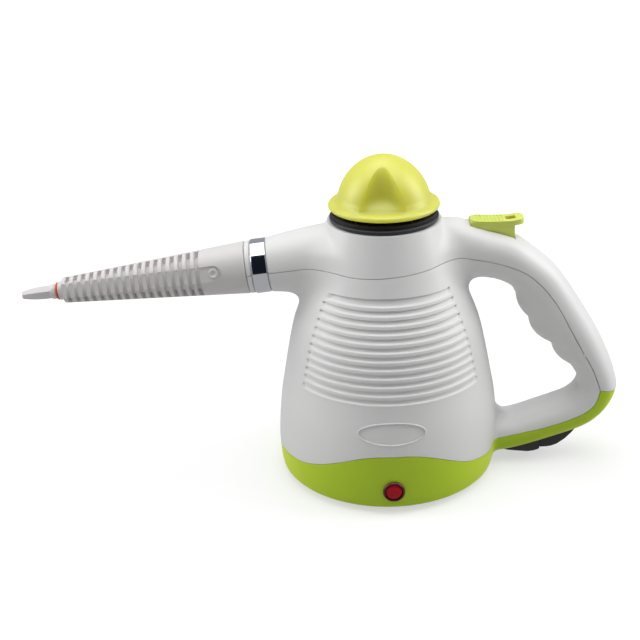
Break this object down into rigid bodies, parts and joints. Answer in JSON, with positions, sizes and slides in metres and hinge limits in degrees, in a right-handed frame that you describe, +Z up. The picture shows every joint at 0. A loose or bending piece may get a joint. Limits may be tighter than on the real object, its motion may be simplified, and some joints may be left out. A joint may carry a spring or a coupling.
{
  "type": "hand steam cleaner",
  "caption": "Hand-held steam cleaner: louvred white body on a lime base, screw cap on a black collar, ribbed jet nozzle, loop handle with a steam trigger.",
  "frame": {"origin": "on the floor under the middle of the whole machine", "axes": "+Z up along the filler, +X towards the handle, the nozzle points along -X"},
  "size_m": [0.3638, 0.1386, 0.2009],
  "materials": {
    "white_shell": "satin moulded, warm white",
    "lime_base": "satin moulded, lime green",
    "lime_cap": "satin moulded, yellow lime",
    "black_plastic": "fine texture, near black",
    "nozzle_plastic": "satin, warm grey white",
    "chrome": "mirror polished",
    "steel": "plain",
    "brass": "turned",
    "cast_aluminium": "die cast",
    "rubber": "matt",
    "orange_rubber": "satin silicone",
    "orange_plastic": "satin",
    "red_lens": "gloss, translucent red",
    "ceramic": "off white"
  },
  "bodies": {
    "housing": {"upper_shell": "white_shell", "lower_shell": "white_shell", "base": "lime_base", "base_screw_1": "steel", "base_screw_2": "steel", "base_screw_3": "steel", "base_screw_4": "steel", "rubber_foot_1": "rubber", "rubber_foot_2": "rubber", "rubber_foot_3": "rubber", "rubber_foot_4": "rubber", "heel_pad": "black_plastic", "cord_gland": "black_plastic", "chrome_ring": "chrome", "spigot": "black_plastic", "collar": "black_plastic", "boiler_cup": "cast_aluminium", "boiler_gasket": "orange_rubber", "boiler_cover": "cast_aluminium", "boiler_bolt_1": "steel", "boiler_bolt_2": "steel", "boiler_bolt_3": "steel", "boiler_bolt_4": "steel", "filler_neck": "brass", "trigger_pin": "steel", "trigger_spring": "steel", "valve_body": "brass", "valve_spring": "steel", "pickup_pipe": "brass", "steam_pipe": "brass", "heating_element": "steel", "thermostat": "ceramic", "thermal_fuse": "ceramic", "terminal_block": "ceramic", "element_lead": "black_plastic", "lamp_lead": "orange_plastic", "mains_lead": "black_plastic", "lamp_bezel": "red_lens", "lamp_lens": "red_lens", "lamp_holder": "ceramic"},
    "nozzle_seal": {"spigot_seal": "orange_rubber"},
    "nozzle": {"nozzle": "nozzle_plastic", "jet_seal": "orange_rubber", "jet_tip": "nozzle_plastic"},
    "cap_thread": {"cap_seal": "rubber"},
    "cap_core": {"cap_insert": "black_plastic", "cap_spring": "steel", "relief_spring": "steel"},
    "cap_grip": {"cap_knob": "lime_cap"},
    "relief_valve": {"relief_plunger": "brass"},
    "trigger": {"trigger": "lime_base"},
    "lock": {"lock_slider": "orange_plastic"},
    "valve_stem": {"valve_stem": "steel"}
  },
  "joints": [
    {"name": "nozzle_turn", "type": "hinge", "parent": "housing", "child": "nozzle_seal", "pos_m": [0.03794, 0, 0.14261], "axis": [-0.9954, 0, -0.0958], "range_deg": [-40, 0]},
    {"name": "nozzle_pull", "type": "slide", "parent": "nozzle_seal", "child": "nozzle", "axis": [-0.9954, 0, -0.0958], "range_m": [0, 0.024]},
    {"name": "cap_rise", "type": "slide", "parent": "housing", "child": "cap_thread", "axis": [0, 0, 1], "range_m": [0, 0.016]},
    {"name": "cap_turn", "type": "hinge", "parent": "cap_thread", "child": "cap_core", "pos_m": [0.03794, 0, 0], "axis": [0, 0, 1], "range_deg": [0, 1440]},
    {"name": "cap_push", "type": "slide", "parent": "cap_core", "child": "cap_grip", "axis": [0, 0, -1], "range_m": [0, 0.002], "stiffness_N_per_m": 1500, "springref_m": -0.003, "deforming": ["cap_spring"]},
    {"name": "relief_lift", "type": "slide", "parent": "cap_core", "child": "relief_valve", "axis": [0, 0, 1], "range_m": [0, 0.002], "stiffness_N_per_m": 600, "springref_m": -0.004, "deforming": ["relief_spring"]},
    {"name": "trigger_press", "type": "hinge", "parent": "housing", "child": "trigger", "pos_m": [0.08402, 0, 0.15147], "axis": [0, 1, 0], "range_deg": [0, 6], "stiffness_Nm_per_rad": 3, "springref_deg": -3.44, "deforming": ["trigger_spring"]},
    {"name": "valve_press", "type": "slide", "parent": "housing", "child": "valve_stem", "axis": [0, 0, -1], "range_m": [0, 0.00131], "deforming": ["valve_spring"]},
    {"name": "lock_slide", "type": "slide", "parent": "trigger", "child": "lock", "axis": [-1, 0, 0], "range_m": [0, 0.0015]}
  ],
  "couplings": [
    {"joint": "cap_rise", "follows": "cap_turn", "m_per_rad": 0.00063662},
    {"joint": "trigger_press", "follows": "valve_press", "rad_per_m": 80}
  ]
}
